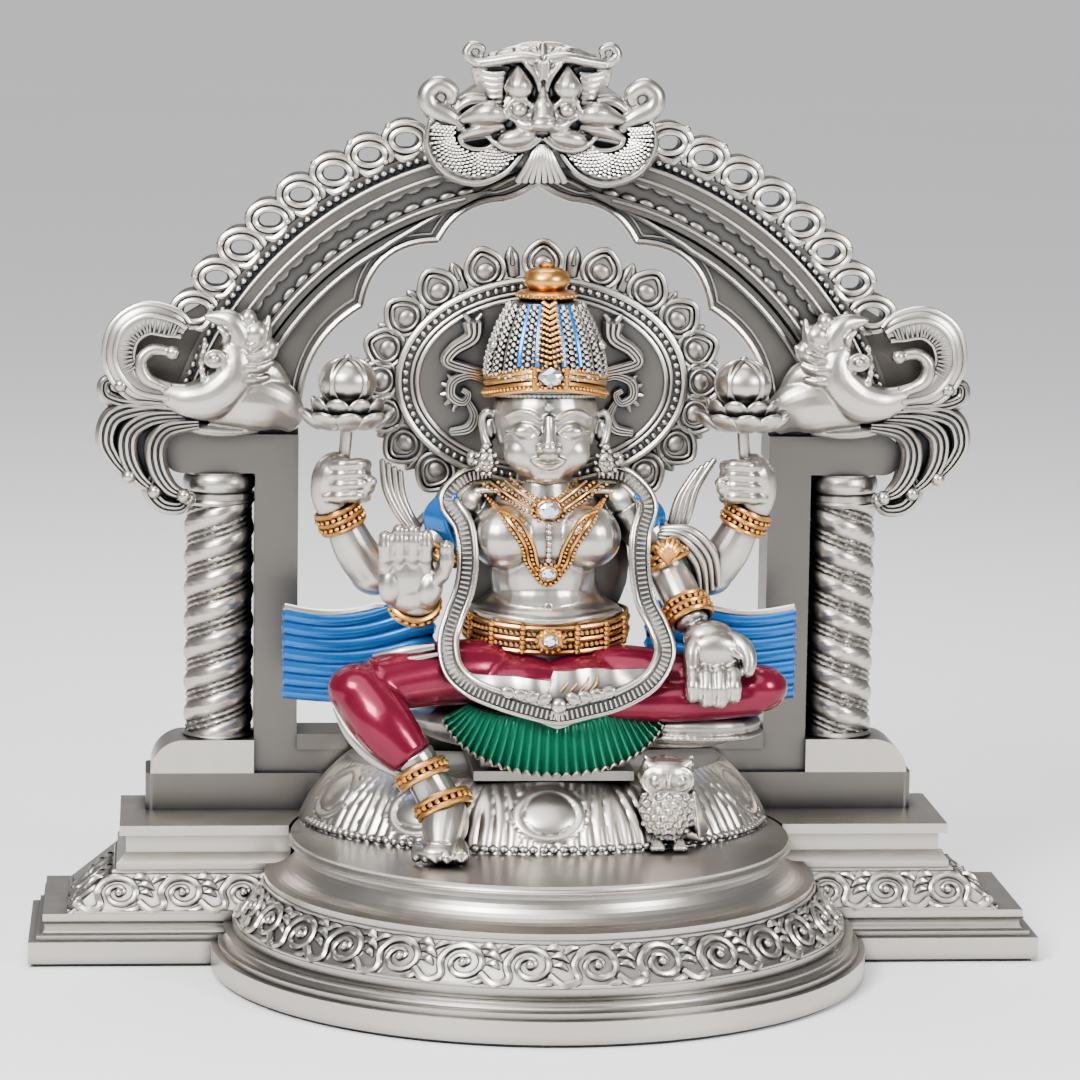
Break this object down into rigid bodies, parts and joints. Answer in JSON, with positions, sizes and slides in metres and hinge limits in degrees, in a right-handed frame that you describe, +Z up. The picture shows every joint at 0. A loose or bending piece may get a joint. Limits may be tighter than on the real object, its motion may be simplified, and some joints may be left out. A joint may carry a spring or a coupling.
{
  "type": "hindu deity statue",
  "caption": "Seated four-armed goddess statue in silver and enamel colours, on a stepped base under a columned arch.",
  "frame": {"origin": "under the middle of the whole statue, on the surface it stands on", "axes": "+Z up, +Y towards the back of the arch, +X to the right of a viewer in front"},
  "size_m": [0.257, 0.1304, 0.2325],
  "materials": {
    "silver_satin": "satin electroplated silver over cast resin",
    "silver_shadowed": "antiqued silver with a blue-grey wash in the hollows",
    "gold_paint": "metallic gold paint with orange-brown hollows",
    "blue_enamel": "gloss sky-blue enamel",
    "magenta_enamel": "gloss crimson to magenta enamel",
    "green_enamel": "gloss emerald enamel",
    "crystal": "clear faceted crystals",
    "felt": "black felt",
    "fastener_brass": "plain brass screws"
  },
  "bodies": {
    "root": {"felt_pad": "felt", "base_plinth": "silver_satin", "base_drum": "silver_satin", "base_wing_L": "silver_satin", "base_wing_R": "silver_satin", "platform_disc": "silver_satin", "platform_slab": "silver_satin", "frame_foot": "silver_satin", "frame_wall": "silver_satin", "post_L": "silver_satin", "post_R": "silver_satin", "arm_L": "silver_satin", "arm_R": "silver_satin", "cushion_L": "silver_satin", "cushion_R": "silver_satin", "column_L": "silver_satin", "column_R": "silver_satin", "capital_L": "silver_satin", "capital_R": "silver_satin", "arch_band_L": "silver_shadowed", "arch_band_R": "silver_shadowed", "arch_cusp_L": "silver_shadowed", "arch_cusp_R": "silver_shadowed", "arch_rings_L": "silver_satin", "arch_rings_R": "silver_satin", "makara_L": "silver_satin", "makara_R": "silver_satin", "crest_face": "silver_satin", "crest_crown": "silver_satin", "halo_disc": "silver_shadowed", "halo_petals": "silver_satin", "lotus_base": "silver_satin", "seat_dish": "silver_satin", "seat_block": "silver_shadowed", "seat_leaf": "green_enamel", "torso": "silver_satin", "head": "silver_satin", "crown": "silver_satin", "crown_band": "gold_paint", "crown_finial": "gold_paint", "gems": "crystal", "earrings": "silver_satin", "necklace": "gold_paint", "back_arm_L": "silver_satin", "back_arm_R": "silver_satin", "front_arm_L": "silver_satin", "front_arm_R": "silver_satin", "bangles": "gold_paint", "belt": "gold_paint", "leg_L": "magenta_enamel", "leg_R": "magenta_enamel", "foot_L": "silver_satin", "apron_sash": "silver_satin", "drape_L": "blue_enamel", "drape_R": "blue_enamel", "lotus_L": "silver_satin", "lotus_R": "silver_satin", "owl": "silver_satin", "frame_screws": "fastener_brass", "figure_bolt": "fastener_brass"}
  },
  "joints": []
}
